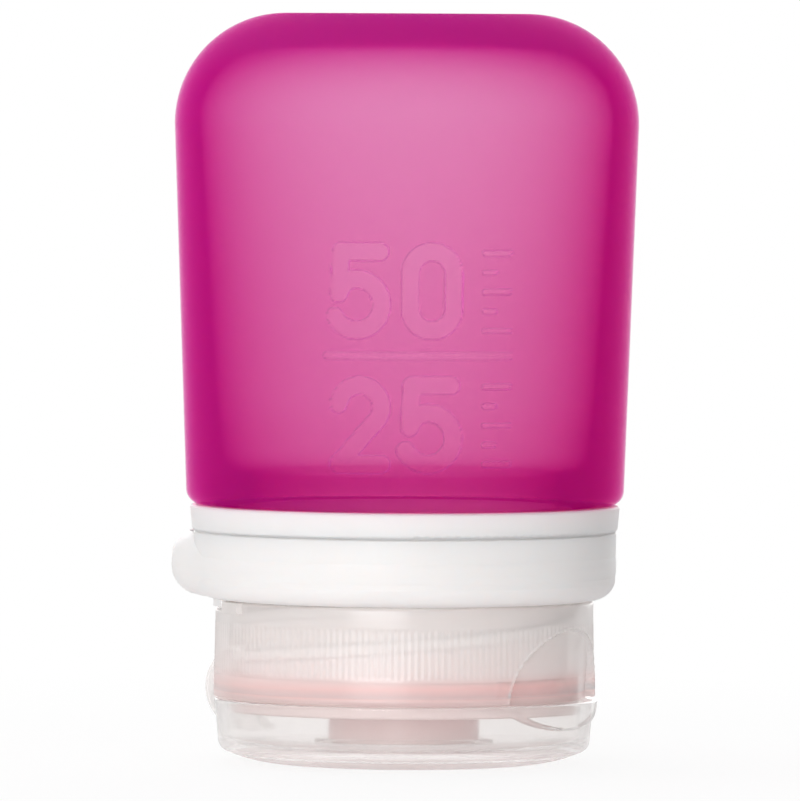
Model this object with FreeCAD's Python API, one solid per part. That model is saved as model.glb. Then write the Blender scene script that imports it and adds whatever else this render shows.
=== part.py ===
"""Travel squeeze bottle: a silicone bottle on a flip-top screw cap, standing on its lid.

Units are millimetres. +Z is up, from the lid's outer face at z = 0 to the bottle's base on top.
The front of the bottle faces -Y. Pieces of the cap are drawn with the thumb side towards +X and then
turned about Z by CAP_TURN, because the cap stops at that angle when it is screwed tight.
"""
import FreeCAD, Part
import math
import os
from FreeCAD import Vector

# Heights above the surface that the bottle stands on
LID_PLATE_TOP = 1.8
BOSS_END = 2.0
VALVE_SEAT = 3.2
DECK_BOTTOM = 5.3
VALVE_FLANGE_TOP = 5.4
LID_RIM = 6.45
SEAM = 6.6
RETAINER_TOP = 6.7
DECK_TOP = 6.9
NECK_RIM = 8.6
SKIRT_STEP = 15.4
RING_BOTTOM = 16.4
SKIRT_TOP = 22.9
RING_TOP = 23.1
COLLAR_BOTTOM = 23.2
FLANGE_TOP = 24.4
BEAD_TOP = 25.05
SPIGOT_TOP = 25.6
SHOULDER = 25.7
FLOOR_TOP = 29.0
BOTTLE_TOP = 74.7

# Silicone bottle
BODY_MAX_R = 23.15
BODY_FOOT_R = 21.85
BASE_ROUND = 11.0
FOOT_ROUND = 1.6
WALL = 2.5
WALL_AT_NECK = 3.3
NECK_WALL_Z = 36.0
WALL_AT_FLOOR = 3.7
FLOOR_ROUND = 2.4
FLOOR_BORE_R = 15.2
MOUTH_R = 17.0
BEAD_R = 20.0
LIP_R = 19.2
CAVITY_ROUND = BASE_ROUND - WALL

# Neck and collar
NECK_BORE_R = 14.9
NECK_OUTER_R = 16.3
SPIGOT_EDGE = 0.5
COLLAR_TOP_R = 21.42
COLLAR_BOTTOM_R = 21.25
COLLAR_EDGE = 0.35

# Screw cap
CAP_TURN = -28.0
SKIRT_FOOT_R = 19.0
SKIRT_R = 18.85
SKIRT_NECK_R = 18.4
SKIRT_BORE_R = 17.4
SNAP_BEAD_R = 18.8
SNAP_BEAD_HEIGHT = 0.2
SNAP_RAMP = 0.8
DECK_STEP_R = 17.3
BOSS_R = 7.5
BOSS_EDGE = 0.5
ORIFICE_R = 4.2
VALVE_BORE_R = 6.3

# Thumb scoop in the skirt, and the lip of the lid below it
SCOOP_HALF_WIDTH = 9.0
SCOOP_HEIGHT = 7.05
SCOOP_DEPTH_AT_SEAM = 1.0
SCOOP_DEPTH_AT_TOP = 0.3
LIP_HEIGHT = 2.6
LIP_PROUD_R = 19.3

# Flip lid
LID_RIM_R = 18.9
LID_SIDE_R = 18.55
LID_FLAT_R = 12.1
LID_ROUND = 1.2
LID_ROUND_TOP = 2.3
LID_BORE_R = 17.5
LID_INNER_ROUND = 1.2
LID_PLUG_R = 3.4
LID_PLUG_TOP = 2.8
LID_RING_R = 8.9
LID_RING_WALL = 0.8
LID_RING_TOP = 2.9

# Living hinge of the lid, on the side away from the thumb
HINGE_X = -19.5
FILM_R = 0.2
EAR_HALF_WIDTH = 2.0
EAR_REACH = 3.0
EAR_FACE = 1.35
EAR_ROOT = 0.6
EAR_GAP = 0.05
LID_EAR_GAP = 0.02
STRAP_INNER_Y = 2.6
STRAP_OUTER_Y = 4.6
STRAP_THICK = 0.5
STRAP_PEAK_X = -20.2
STRAP_TOP = 10.8
STRAP_FOOT = 3.6
STRAP_LID_GAP = 0.05

# Loop ring, with the loop at LOOP_ANGLE about Z
LOOP_ANGLE = 140.0
RING_R = 21.1
RING_SIDE_R = 21.0
RING_BORE_R = 18.55
RING_CHANNEL_R = 19.5
RING_WEB_TOP = 17.8
RING_ROUND_TOP = 18.1
RING_EDGE = 0.15
RING_PLAY_BELOW = 0.08
RING_PLAY_ABOVE = 0.1
LOOP_CENTRE = 8.3
LOOP_END_R = 17.0
LOOP_WALL = 1.8
LOOP_ROUND = 2.9
LOOP_TRIM = 0.05
LOOP_HOLE_INNER_R = 19.4
LOOP_HOLE_HALF_ANGLE = 38.0

# Stops that end the loop ring's turn
RING_TRAVEL = 60.0
LUG_START = 193.0
LUG_SPAN = 7.8
LUG_GAP = 0.15
LUG_ROOT = 0.6
STOP_SPAN = 9.7
STOP_GAP = 0.7
LUG_BOTTOM = 15.75
STOP_BOTTOM = 15.2
STOP_TOP = 16.25

# Silicone pieces in the cap
GASKET_BORE_R = 13.2
GASKET_R = 17.3
VALVE_R = 6.25
VALVE_HEAD_R = 4.0
VALVE_SKIN = 0.6
VALVE_DISH = 0.15
VALVE_DISH_HALFWAY = 0.05
VALVE_NOSE = 0.25
SLIT_LENGTH = 5.0
SLIT_WIDTH = 0.12
RETAINER_BORE_R = 4.9

# Small edges, play between pieces, and how far one shape is sunk in another
EDGE = 0.3
THIN_EDGE = 0.2
LEAD_IN = 0.4
ROOT = 0.3
OVERRUN = 1.0

AXIS_BASE = Vector(0, 0, 0)
AXIS_UP = Vector(0, 0, 1)


def section(*moves):
    """A face in the XZ plane. A move is a point (r, z), or a pair of points for an arc: through, to."""
    edges = []
    first = here = Vector(moves[0][0], 0, moves[0][1])
    for move in moves[1:]:
        if isinstance(move[0], tuple):
            through = Vector(move[0][0], 0, move[0][1])
            there = Vector(move[1][0], 0, move[1][1])
            edges.append(Part.Arc(here, through, there).toShape())
        else:
            there = Vector(move[0], 0, move[1])
            edges.append(Part.makeLine(here, there))
        here = there
    if (here - first).Length > 1e-6:
        edges.append(Part.makeLine(here, first))
    return Part.Face(Part.Wire(edges))


def bend(centre, radius, start, end):
    """The through and to points of an arc of a section, from its centre and its two angles in degrees."""
    points = []
    for angle in ((start + end) / 2, end):
        turn = math.radians(angle)
        points.append((centre[0] + radius * math.cos(turn), centre[1] + radius * math.sin(turn)))
    return tuple(points)


def turned(face, angle=360.0, start=0.0):
    """The solid that a section sweeps about Z."""
    solid = face.revolve(AXIS_BASE, AXIS_UP, angle)
    solid.rotate(AXIS_BASE, AXIS_UP, start)
    return solid


def ring(inner, outer, bottom, top, angle=360.0, start=0.0):
    """A plain ring, or a sector of one."""
    return turned(section((inner, bottom), (outer, bottom), (outer, top), (inner, top)), angle, start)


def across(face, half_width):
    """A section drawn in XZ, made a solid from y = -half_width to y = half_width."""
    solid = face.extrude(Vector(0, 2 * half_width, 0))
    solid.translate(Vector(0, -half_width, 0))
    return solid


def eye(half_width, half_height, height):
    """An elliptical rod along +X, wider than it is high, for the thumb scoop and the lip below it."""
    oval = Part.Ellipse(Vector(0, 0, 0), half_width, half_height).toShape()
    rod = Part.Face(Part.Wire([oval])).extrude(Vector(0, 0, 2 * BODY_MAX_R))
    rod.rotate(AXIS_BASE, AXIS_UP, 90)
    rod.rotate(AXIS_BASE, Vector(0, 1, 0), 90)
    rod.translate(Vector(0, 0, height))
    return rod


def with_cap(solid):
    """Turns a piece of the cap to the angle at which the cap stops."""
    solid.rotate(AXIS_BASE, AXIS_UP, CAP_TURN)
    return solid


def cavity_section():
    """Inside of the bottle from the mouth up: a floor over the spigot, tapered sides and a rounded base."""
    cavity_top = BOTTLE_TOP - WALL
    corner = (BODY_MAX_R - BASE_ROUND, cavity_top - CAVITY_ROUND)
    floor_z = FLOOR_TOP + FLOOR_ROUND
    floor_corner = (body_radius(floor_z) - WALL_AT_FLOOR - FLOOR_ROUND, floor_z)
    neck_wall_r = body_radius(NECK_WALL_Z) - WALL_AT_NECK
    return section(
        (0, FLANGE_TOP),
        (MOUTH_R, FLANGE_TOP),
        (MOUTH_R, SPIGOT_TOP - SPIGOT_EDGE),
        (MOUTH_R - SPIGOT_EDGE, SPIGOT_TOP),
        (FLOOR_BORE_R, SPIGOT_TOP),
        (FLOOR_BORE_R, FLOOR_TOP),
        (floor_corner[0], FLOOR_TOP),
        bend(floor_corner, FLOOR_ROUND, -90, 0),
        (neck_wall_r, NECK_WALL_Z),
        (corner[0] + CAVITY_ROUND, corner[1]),
        bend(corner, CAVITY_ROUND, 0, 90),
        (0, cavity_top),
    )


def body_radius(height):
    """Outer radius of the bottle's tapered side."""
    low = SHOULDER + FOOT_ROUND
    high = BOTTLE_TOP - BASE_ROUND
    return BODY_FOOT_R + (BODY_MAX_R - BODY_FOOT_R) * (height - low) / (high - low)


def silicone_body():
    """Squeeze bottle with a bead round its mouth, which the collar traps on the neck."""
    foot = (BODY_FOOT_R - FOOT_ROUND, SHOULDER + FOOT_ROUND)
    corner = (BODY_MAX_R - BASE_ROUND, BOTTLE_TOP - BASE_ROUND)
    outside = turned(section(
        (0, FLANGE_TOP),
        (BEAD_R, FLANGE_TOP),
        (BEAD_R, BEAD_TOP),
        (LIP_R, BEAD_TOP),
        (LIP_R, SHOULDER),
        (foot[0], SHOULDER),
        bend(foot, FOOT_ROUND, -90, 0),
        (BODY_MAX_R, corner[1]),
        bend(corner, BASE_ROUND, 0, 90),
        (0, BOTTLE_TOP),
    ))
    return outside.cut(turned(cavity_section()))


def neck_insert():
    """Rigid neck: a bored spigot in the bottle's mouth, a flange under the bead, and the screw neck."""
    return turned(section(
        (NECK_BORE_R, NECK_RIM),
        (NECK_OUTER_R - EDGE, NECK_RIM),
        (NECK_OUTER_R, NECK_RIM + EDGE),
        (NECK_OUTER_R, COLLAR_BOTTOM),
        (BEAD_R, COLLAR_BOTTOM),
        (BEAD_R, FLANGE_TOP),
        (MOUTH_R, FLANGE_TOP),
        (MOUTH_R, SPIGOT_TOP - SPIGOT_EDGE),
        (MOUTH_R - SPIGOT_EDGE, SPIGOT_TOP),
        (NECK_BORE_R, SPIGOT_TOP),
    ))


def collar_ring():
    """White band round the bottle's mouth; its inner lip holds the bead down on the neck's flange."""
    edge = (COLLAR_BOTTOM_R - COLLAR_EDGE, COLLAR_BOTTOM + COLLAR_EDGE)
    return turned(section(
        (BEAD_R, COLLAR_BOTTOM),
        (edge[0], COLLAR_BOTTOM),
        bend(edge, COLLAR_EDGE, -90, 0),
        (COLLAR_TOP_R, SHOULDER - THIN_EDGE),
        (COLLAR_TOP_R - THIN_EDGE, SHOULDER),
        (LIP_R, SHOULDER),
        (LIP_R, BEAD_TOP),
        (BEAD_R, BEAD_TOP),
    ))


def mouth_gasket():
    """Flat seal between the neck's rim and the cap's deck."""
    return ring(GASKET_BORE_R, GASKET_R, DECK_TOP, NECK_RIM)


def cap_shell():
    """Skirt, deck and valve boss of the cap, before the scoop, hinge and stops."""
    web_top = RING_WEB_TOP + RING_PLAY_ABOVE
    bead_foot = RING_BOTTOM - RING_PLAY_BELOW - SNAP_BEAD_HEIGHT
    boss_corner = (BOSS_R - BOSS_EDGE, BOSS_END + BOSS_EDGE)
    return turned(section(
        (ORIFICE_R, BOSS_END),
        (boss_corner[0], BOSS_END),
        bend(boss_corner, BOSS_EDGE, -90, 0),
        (BOSS_R, DECK_BOTTOM),
        (DECK_STEP_R - EDGE, DECK_BOTTOM),
        (DECK_STEP_R, DECK_BOTTOM + EDGE),
        (DECK_STEP_R, SEAM),
        (SKIRT_FOOT_R - THIN_EDGE, SEAM),
        (SKIRT_FOOT_R, SEAM + THIN_EDGE),
        (SKIRT_R, SKIRT_STEP - EDGE),
        (SKIRT_R - EDGE, SKIRT_STEP),
        (SKIRT_NECK_R, SKIRT_STEP),
        (SKIRT_NECK_R, bead_foot),
        (SNAP_BEAD_R, bead_foot),
        (SNAP_BEAD_R, bead_foot + SNAP_BEAD_HEIGHT),
        (SKIRT_NECK_R, bead_foot + SNAP_BEAD_HEIGHT),
        (SKIRT_NECK_R, web_top),
        (SNAP_BEAD_R, web_top),
        (SKIRT_NECK_R, web_top + SNAP_RAMP),
        (SKIRT_NECK_R, SKIRT_TOP - LEAD_IN),
        (SKIRT_NECK_R - LEAD_IN, SKIRT_TOP),
        (SKIRT_BORE_R, SKIRT_TOP),
        (SKIRT_BORE_R, DECK_TOP),
        (VALVE_BORE_R, DECK_TOP),
        (VALVE_BORE_R, VALVE_SEAT),
        (ORIFICE_R, VALVE_SEAT),
    ))


def thumb_scoop():
    """What the scoop takes out of the skirt: deepest at the seam, shallow at the top of its oval."""
    ramp_top = SEAM + SCOOP_HEIGHT + OVERRUN
    ramp = turned(section(
        (SKIRT_FOOT_R - SCOOP_DEPTH_AT_SEAM, SEAM),
        (BODY_MAX_R, SEAM),
        (BODY_MAX_R, ramp_top),
        (SKIRT_R - SCOOP_DEPTH_AT_TOP, ramp_top),
    ))
    return ramp.common(eye(SCOOP_HALF_WIDTH, SCOOP_HEIGHT, SEAM))


def hinge_ear(side, wall_r, gap):
    """Wedge on a wall that carries the hinge film: side 1 is the cap's, above the film, and -1 the lid's."""
    near = SEAM + side * (FILM_R + gap)
    face_x = HINGE_X + EAR_GAP
    root_x = -wall_r + EAR_ROOT
    return across(section(
        (root_x, near),
        (face_x, near),
        (face_x, near + side * EAR_FACE),
        (-wall_r, near + side * EAR_REACH),
        (root_x, near + side * EAR_REACH),
    ), EAR_HALF_WIDTH)


def ring_stops():
    """Two blocks on the skirt's narrow neck that the loop ring's lug meets at each end of its turn."""
    first = LUG_START + LUG_SPAN + STOP_GAP
    last = LUG_START - RING_TRAVEL - STOP_GAP - STOP_SPAN
    blocks = []
    for start in (first - CAP_TURN, last - CAP_TURN):
        blocks.append(ring(SKIRT_NECK_R - ROOT, RING_CHANNEL_R, STOP_BOTTOM, STOP_TOP, STOP_SPAN, start))
    return blocks


def cap_base():
    """Screw cap: translucent skirt with a thumb scoop, a deck, a valve boss and the hinge's upper ear."""
    ear = hinge_ear(1, SKIRT_R, 0)
    shell = cap_shell().cut(thumb_scoop())
    return with_cap(shell.fuse([ear] + ring_stops()).removeSplitter())


def flip_lid():
    """Lid that the bottle stands on, with the plug that shuts the valve and a lip for the thumb.

    Its outer face is flat in the middle and rises towards the edge on a wide arc, tangent to the edge's own.
    """
    corner = (LID_SIDE_R - LID_ROUND, LID_ROUND_TOP)
    reach = corner[0] - LID_FLAT_R
    face_round = (reach ** 2 + LID_ROUND_TOP ** 2 - LID_ROUND ** 2) / (2 * (LID_ROUND_TOP - LID_ROUND))
    meet = math.degrees(math.atan2(LID_ROUND_TOP - face_round, reach))
    inner = (LID_BORE_R - LID_INNER_ROUND, LID_PLATE_TOP + LID_INNER_ROUND)
    shell = turned(section(
        (0, 0),
        (LID_FLAT_R, 0),
        bend((LID_FLAT_R, face_round), face_round, -90, meet),
        bend(corner, LID_ROUND, meet, 0),
        (LID_RIM_R, LID_RIM - THIN_EDGE),
        (LID_RIM_R - THIN_EDGE, LID_RIM),
        (LID_BORE_R, LID_RIM),
        (LID_BORE_R, inner[1]),
        bend(inner, LID_INNER_ROUND, 0, -90),
        (LID_RING_R, LID_PLATE_TOP),
        (LID_RING_R, LID_RING_TOP),
        (LID_RING_R - LID_RING_WALL, LID_RING_TOP),
        (LID_RING_R - LID_RING_WALL, LID_PLATE_TOP),
        (LID_PLUG_R, LID_PLATE_TOP),
        (LID_PLUG_R, LID_PLUG_TOP - LEAD_IN),
        (LID_PLUG_R - LEAD_IN, LID_PLUG_TOP),
        (0, LID_PLUG_TOP),
    ))
    lip = ring(LID_SIDE_R - ROOT, LIP_PROUD_R, LID_RIM - LIP_HEIGHT, LID_RIM)
    lip = lip.common(eye(SCOOP_HALF_WIDTH, LIP_HEIGHT, LID_RIM))
    ear = hinge_ear(-1, LID_SIDE_R, LID_EAR_GAP)
    return with_cap(shell.fuse([lip, ear]).removeSplitter())


def hinge_film():
    """Thin web on the hinge's axis, on which the lid turns."""
    end = Vector(HINGE_X, -EAR_HALF_WIDTH, SEAM)
    return with_cap(Part.makeCylinder(FILM_R, 2 * EAR_HALF_WIDTH, end, Vector(0, 1, 0)))


def hinge_straps():
    """Two bowed straps beside the film, which snap the lid open and shut."""
    middle = (STRAP_TOP + STRAP_FOOT) / 2
    bow = section(
        (-SKIRT_BORE_R, STRAP_TOP),
        ((STRAP_PEAK_X, middle), (-SKIRT_BORE_R, STRAP_FOOT)),
        (-SKIRT_BORE_R + STRAP_THICK, STRAP_FOOT),
        ((STRAP_PEAK_X + STRAP_THICK, middle), (-SKIRT_BORE_R + STRAP_THICK, STRAP_TOP)),
    )
    half = (STRAP_OUTER_Y - STRAP_INNER_Y) / 2
    skirt = turned(section(
        (0, SEAM),
        (SKIRT_FOOT_R, SEAM),
        (SKIRT_FOOT_R, SEAM + THIN_EDGE),
        (SKIRT_R, SKIRT_STEP - EDGE),
        (0, SKIRT_STEP - EDGE),
    ))
    lid_room = ring(0, LID_RIM_R + STRAP_LID_GAP, 0, SEAM)
    straps = []
    for side in (-1, 1):
        strap = across(bow, half)
        strap.translate(Vector(0, side * (STRAP_INNER_Y + half), 0))
        straps.append(strap.cut(skirt).cut(lid_room))
    return with_cap(Part.makeCompound(straps))


def drip_valve():
    """Silicone valve: a tall rim on the seat and a thin hollow head with crossed slits."""
    head = turned(section(
        (0, VALVE_SEAT + VALVE_DISH),
        ((VALVE_HEAD_R / 2, VALVE_SEAT + VALVE_DISH_HALFWAY), (VALVE_HEAD_R, VALVE_SEAT - VALVE_NOSE)),
        (VALVE_HEAD_R, VALVE_SEAT),
        (VALVE_R, VALVE_SEAT),
        (VALVE_R, VALVE_FLANGE_TOP),
        (RETAINER_BORE_R, VALVE_FLANGE_TOP),
        (VALVE_HEAD_R, VALVE_SEAT + VALVE_SKIN),
        (0, VALVE_SEAT + VALVE_DISH + VALVE_SKIN),
    ))
    for along, wide in ((SLIT_LENGTH, SLIT_WIDTH), (SLIT_WIDTH, SLIT_LENGTH)):
        slit = Part.makeBox(along, wide, 2 * VALVE_SKIN + OVERRUN)
        slit.translate(Vector(-along / 2, -wide / 2, VALVE_SEAT - OVERRUN / 2))
        head = head.cut(slit)
    return with_cap(head)


def valve_retainer():
    """Ring pressed into the boss behind the valve's rim."""
    return ring(RETAINER_BORE_R, VALVE_BORE_R, VALVE_FLANGE_TOP, RETAINER_TOP)


def loop_region(inset):
    """Egg-shaped outline of the loop ring seen from above, with its point along +X, drawn in by inset."""
    small = LOOP_END_R - inset
    big = RING_R - inset
    lean = math.acos((RING_R - LOOP_END_R) / LOOP_CENTRE)
    side = Vector(math.cos(lean), math.sin(lean), 0)
    other = Vector(side.x, -side.y, 0)
    middle = Vector(LOOP_CENTRE, 0, 0)
    tip = middle + Vector(small, 0, 0)
    edges = [
        Part.Arc(middle + other * small, tip, middle + side * small).toShape(),
        Part.makeLine(middle + side * small, side * big),
        Part.Arc(side * big, Vector(-big, 0, 0), other * big).toShape(),
        Part.makeLine(other * big, middle + other * small),
    ]
    return Part.Face(Part.Wire(edges))


def loop_block():
    """The loop as a full block with rounded outer edges, before its hole is cut."""
    height = RING_TOP - RING_BOTTOM - 2 * LOOP_TRIM
    block = loop_region(0.0).extrude(Vector(0, 0, height))
    flat_edges = [e for e in block.Edges if e.BoundBox.ZLength < 1e-6]
    block = block.makeFillet(LOOP_ROUND, flat_edges)
    block.translate(Vector(0, 0, RING_BOTTOM + LOOP_TRIM))
    return block


def loop_hole():
    """What the loop's eye takes out: inside the loop's wall, and outside the ring's bearing lip."""
    depth = RING_TOP - RING_BOTTOM + 2 * OVERRUN
    hole = loop_region(LOOP_WALL).extrude(Vector(0, 0, depth))
    hole.translate(Vector(0, 0, RING_BOTTOM - OVERRUN))
    span = 2 * LOOP_HOLE_HALF_ANGLE
    sector = ring(LOOP_HOLE_INNER_R, RING_R + LOOP_CENTRE, 0, BOTTLE_TOP, span, -LOOP_HOLE_HALF_ANGLE)
    return hole.common(sector)


def ring_band():
    """The round band of the loop ring: a wall, and a lip below that runs in the groove of the skirt."""
    reach = RING_SIDE_R - RING_BORE_R
    rise = RING_ROUND_TOP - RING_BOTTOM
    through = (RING_BORE_R + reach * math.cos(math.pi / 4), RING_ROUND_TOP - rise * math.sin(math.pi / 4))
    return turned(section(
        (RING_BORE_R, RING_BOTTOM),
        (through, (RING_SIDE_R, RING_ROUND_TOP)),
        (RING_R, RING_TOP - RING_EDGE),
        (RING_R - RING_EDGE, RING_TOP),
        (RING_CHANNEL_R, RING_TOP),
        (RING_CHANNEL_R, RING_WEB_TOP),
        (RING_BORE_R, RING_WEB_TOP),
    ))


def loop_ring():
    """White ring that turns on the skirt, with the loop to hang the bottle by and the lug that stops it."""
    room = ring(0, RING_CHANNEL_R, 0, BOTTLE_TOP)
    loop = loop_block().cut(room)
    whole = ring_band().fuse(loop).cut(loop_hole())
    whole.rotate(AXIS_BASE, AXIS_UP, LOOP_ANGLE)
    lug_top = RING_BOTTOM + LUG_ROOT
    lug = ring(SNAP_BEAD_R + LUG_GAP, RING_CHANNEL_R, LUG_BOTTOM, lug_top, LUG_SPAN, LUG_START)
    return whole.fuse(lug).removeSplitter()


PIECES = {
    "silicone_body": silicone_body,
    "neck_insert": neck_insert,
    "collar_ring": collar_ring,
    "mouth_gasket": mouth_gasket,
    "cap_base": cap_base,
    "drip_valve": drip_valve,
    "valve_retainer": valve_retainer,
    "hinge_film": hinge_film,
    "hinge_straps": hinge_straps,
    "flip_lid": flip_lid,
    "loop_ring": loop_ring,
}

os.makedirs("parts", exist_ok=True)
for name, make in PIECES.items():
    piece = make()
    piece.exportStep(f"parts/{name}.step")
    solids = len(piece.Solids)
    print(f"{name}: {solids} solid(s), {piece.Volume / 1000:.3f} ml, valid {piece.isValid()}")
print(f"room in the bottle above the flange: {turned(cavity_section()).Volume / 1000:.1f} ml")
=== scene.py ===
"""Looks of the travel squeeze bottle: translucent silicone on a milky flip-top cap, in soft studio light.

Sizes are millimetres until a mesh is made, and MM turns them into Blender's metres. Angles about the
bottle's axis are degrees, with 0 along +X and the front of the bottle at -90.
"""
import math
import bmesh
import bpy
import numpy as np
from mathutils import Matrix, Vector


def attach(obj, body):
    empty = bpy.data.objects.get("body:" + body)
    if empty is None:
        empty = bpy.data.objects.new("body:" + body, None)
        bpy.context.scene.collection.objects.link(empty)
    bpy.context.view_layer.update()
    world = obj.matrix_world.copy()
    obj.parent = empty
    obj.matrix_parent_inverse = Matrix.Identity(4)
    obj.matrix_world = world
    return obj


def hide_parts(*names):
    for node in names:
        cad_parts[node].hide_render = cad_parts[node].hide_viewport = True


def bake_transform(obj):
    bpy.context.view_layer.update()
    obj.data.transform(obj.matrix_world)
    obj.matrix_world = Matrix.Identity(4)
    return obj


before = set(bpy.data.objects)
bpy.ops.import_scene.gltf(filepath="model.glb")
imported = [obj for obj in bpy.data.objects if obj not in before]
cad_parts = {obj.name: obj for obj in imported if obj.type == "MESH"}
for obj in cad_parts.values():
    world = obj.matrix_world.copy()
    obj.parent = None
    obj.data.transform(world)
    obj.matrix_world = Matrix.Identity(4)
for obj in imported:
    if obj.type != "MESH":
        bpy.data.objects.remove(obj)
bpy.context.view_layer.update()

MM = 0.001
FRONT = -90.0
MERGE_DISTANCE = 1e-8
SMOOTH_ANGLE = 40.0

# Silicone bottle
BODY_TOP = 74.7
BODY_FOOT = 25.7
BODY_MAX_R = 23.15
BODY_FOOT_R = 21.85
BASE_ROUND = 11.0
FOOT_ROUND = 1.6
WALL = 2.5
BASE_WALL = 2.7
BASE_DOME = 6.6
BASE_INNER_ROUND = 7.2
WALL_AT_NECK = 3.3
NECK_WALL_Z = 36.0
WALL_AT_FLOOR = 3.7
FLOOR_Z = 29.0
FLOOR_ROUND = 2.4
FLOOR_BORE_R = 15.2
MOUTH_R = 17.0
MOUTH_Z = 24.4
SPIGOT_Z = 25.6
SPIGOT_EDGE = 0.5
BEAD_R = 20.0
BEAD_Z = 25.05
BEAD_GROOVE_R = 19.2

# Sunk marks on the front of the bottle
MARK_DEPTH = 0.55
MARK_EDGE = 0.24
DIGIT_WIDE = 6.1
DIGIT_TALL = 9.5
STROKE = 1.8
DIGIT_GAP = 1.0
MARKS_LEFT = -7.6
UPPER_ROW_Z = 42.8
LOWER_ROW_Z = 29.7
BAR_Z = 41.2
BAR_THICK = 0.75
BAR_LEFT = -8.3
BAR_RIGHT = 10.9
TICK_LEFT = 7.6
TICK_FOOT = 0.6
TICK_SHORT = 1.6
TICK_LONG = 3.2
TICK_THICK = 0.55
TICK_STEP = 1.9
TICKS = 5
FIVE_BOWL_R = 2.5

# Where the bottle's mesh is fine, for the marks: degrees to each side, and heights above the foot's round
MARKS_HALF_ANGLE = 31.0
MARKS_HEIGHTS = (1.6, 26.2)

# Screw cap, drawn with the thumb side towards +X and then turned by CAP_TURN
CAP_TURN = -28.0
BOSS_END = 2.0
VALVE_SEAT = 3.2
DECK_BOTTOM = 5.3
SEAM = 6.6
DECK_TOP = 6.9
SKIRT_STEP = 15.4
SKIRT_TOP = 22.9
SKIRT_FOOT_R = 19.0
SKIRT_R = 18.85
SKIRT_NECK_R = 18.4
SKIRT_BORE_R = 17.4
SKIRT_FOOT_EDGE = 0.2
SKIRT_EDGE = 0.3
SKIRT_TIP_EDGE = 0.4
DECK_STEP_R = 17.3
DECK_EDGE = 0.3
BOSS_R = 7.5
BOSS_EDGE = 0.5
ORIFICE_R = 4.2
VALVE_BORE_R = 6.3
SNAP_BEAD_R = 18.8
SNAP_BEADS = ((16.12, 16.32), (17.9, 18.7))
GRIP_RIBS = 180
GRIP_DEPTH = 0.08
GRIP_LOW = 9.1
GRIP_HIGH = 14.3
GRIP_FADE = 0.4

# Heights at which the seal is behind the skirt, and a thin patch there, in degrees from the thumb side
SEAL_HEIGHTS = (7.3, 9.1)
SEAL_FADE = 0.3
THIN_PATCH_ANGLES = (-34.0, -2.0)
THIN_PATCH_FADES = (2.0, 6.0)

# Thumb scoop in the skirt, and the lip of the lid below it
SCOOP_HALF_WIDTH = 9.0
SCOOP_HEIGHT = 7.05
SCOOP_SEAM_R = 18.0
SCOOP_TOP_R = 18.55
SCOOP_SOFT = 0.015
SCOOP_BEAD = 0.09
SCOOP_BEAD_AT = 1.02
SCOOP_BEAD_WIDE = 0.018
LIP_HEIGHT = 2.6
LIP_PROUD_R = 19.3
LIP_SOFT = (0.94, 1.02)

# Flip lid
LID_RIM = 6.45
LID_PLATE_TOP = 1.8
LID_RIM_R = 18.9
LID_SIDE_R = 18.55
LID_FLAT_R = 12.1
LID_ROUND = 1.2
LID_ROUND_TOP = 2.3
LID_BORE_R = 17.5
LID_INNER_ROUND = 1.2
LID_PLUG_R = 3.4
LID_PLUG_TOP = 2.8
LID_PLUG_EDGE = 0.4
LID_EDGE = 0.2
LID_RING_R = 8.9
LID_RING_WALL = 0.8
LID_RING_TOP = 2.9

# Living hinge, on the side away from the thumb
HINGE_X = -19.5
FILM_R = 0.2
EAR_HALF_WIDTH = 2.0
EAR_REACH = 3.0
EAR_GAP = 0.05
EAR_ROOT = 0.6
LID_EAR_GAP = 0.02
STRAP_MIDDLE_Y = 3.6
STRAP_WIDE = 2.0
STRAP_THICK = 0.45
STRAP_PEAK_X = -20.2
STRAP_TOP = 10.8
STRAP_FOOT = 3.6
STRAP_SUNK = 0.35
STRAP_CORNER = 0.4

# Stops of the loop ring, as angles about the axis
STOP_STARTS = (122.6, 201.5)
STOP_SPAN = 9.7
STOP_LOW = 15.2
STOP_HIGH = 16.25
STOP_R = 19.5
STOP_SUNK = 0.2

# Notch in the skirt's top edge between the two stops, in which the ring's lug travels
NOTCH_START = STOP_STARTS[0] + STOP_SPAN
NOTCH_END = STOP_STARTS[1]

# Seat under the collar, which fills most of the slit above the loop ring
SEAT_INNER_R = 19.8
SEAT_R = 21.05
SEAT_LOW = 23.13
SEAT_HIGH = 23.4

# Two-start screw
SCREW_LEAD = 8.0
SCREW_STARTS = 2
RIDGE_HALF_FOOT = 0.75
RIDGE_HALF_CREST = 0.35
NECK_R = 16.3
NECK_RIDGE_R = 17.05
CAP_RIDGE_R = 16.65
RIDGE_SUNK = 0.2
RIDGE_FADE = 0.08
RIDGE_LOW = 10.4
RIDGE_TURNS = 1.1

# Share of the light that each milky wall keeps at its surface; the rest goes straight through
BODY_CLOUD = 0.06
# More cloud on the base is painted light: it lightens the top band, where the light from above falls.
BASE_PAINTED_LIGHT_CLOUD = 0.15
BASE_PAINTED_LIGHT_HEIGHTS = (68.0, 72.0)
# Extra cloud on the sloping edges of the marks is painted shade along the sunk strokes.
MARK_EDGE_PAINTED_SHADE = 0.4
SKIRT_CLOUD = 0.66
# At the skirt's foot above the seam, its cloud and a paler tint are painted light that lifts the shade
# between lid and skirt.
SKIRT_ROOT_PAINTED_LIGHT = 0.7
SKIRT_ROOT_TOP = 7.3
SEAL_CLOUDS = (0.5, 0.82)
SEAL_CLOUD_ANGLES = (36.0, 115.0)
THIN_PATCH_CLOUD = 0.34
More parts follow.
